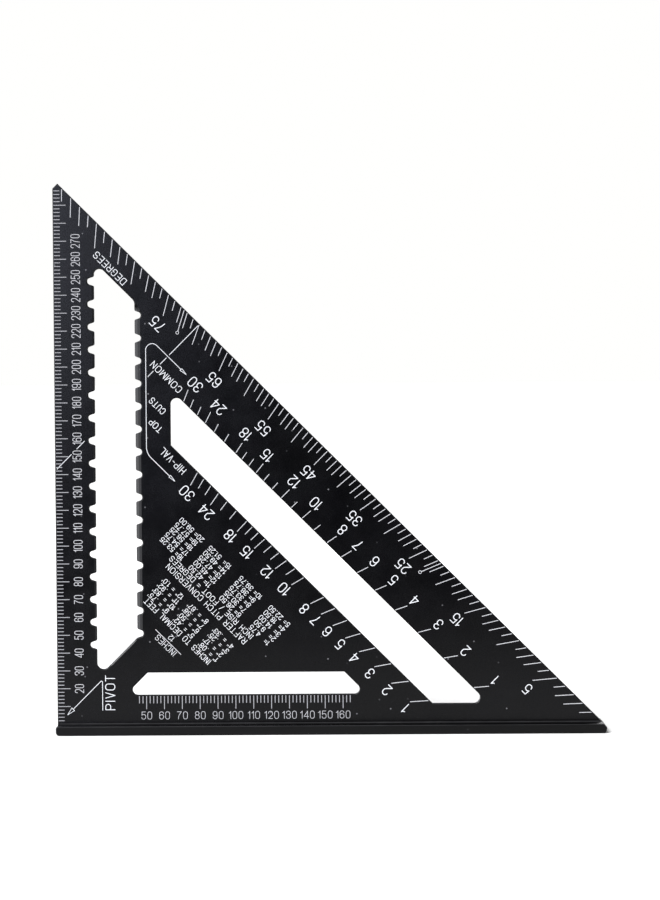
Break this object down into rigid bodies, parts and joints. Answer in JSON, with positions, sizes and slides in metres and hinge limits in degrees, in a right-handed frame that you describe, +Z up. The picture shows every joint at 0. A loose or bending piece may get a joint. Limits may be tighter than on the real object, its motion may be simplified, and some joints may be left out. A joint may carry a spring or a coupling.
{
  "type": "rafter square",
  "caption": "Right-angled triangular layout square: slotted, notched thin blade with degree, rafter and millimetre scales, seated in a flat T-shaped fence.",
  "frame": {"origin": "middle of the fence's underside, which is the bottom centre of the whole square's box", "axes": "+Z up the blade, square to the fence; +X along the fence from the square corner to the hypotenuse; the front, marked face looks along -Y"},
  "size_m": [0.3066, 0.022, 0.3074],
  "materials": {
    "anodised_blade": "black anodised, fine satin",
    "anodised_fence": "black anodised, fine satin",
    "white_ink": "matt printed white"
  },
  "bodies": {
    "root": {"back_degree_scale_numerals": "white_ink", "back_degree_scale_ticks": "white_ink", "back_edge_scale_fine_ticks": "white_ink", "back_edge_scale_numerals": "white_ink", "back_edge_scale_ten_ticks": "white_ink", "blade": "anodised_blade", "common_label": "white_ink", "common_scale_numerals": "white_ink", "common_scale_ticks": "white_ink", "degree_half_marks": "white_ink", "degree_scale_numerals": "white_ink", "degree_scale_ticks": "white_ink", "degrees_label": "white_ink", "edge_scale_fine_ticks": "white_ink", "edge_scale_numerals": "white_ink", "edge_scale_ten_ticks": "white_ink", "feet_table_heading": "white_ink", "feet_table_rows": "white_ink", "fence": "anodised_fence", "hip_valley_label": "white_ink", "hip_valley_scale_numerals": "white_ink", "hip_valley_scale_ticks": "white_ink", "inches_over_twelve_mark": "white_ink", "layout_line": "white_ink", "pitch_table_heading": "white_ink", "pitch_table_rows": "white_ink", "pivot_arrow": "white_ink", "pivot_label": "white_ink", "slot_scale_fine_ticks": "white_ink", "slot_scale_numerals": "white_ink", "slot_scale_ten_ticks": "white_ink", "top_cuts_arrow": "white_ink", "top_cuts_label": "white_ink"}
  },
  "joints": []
}
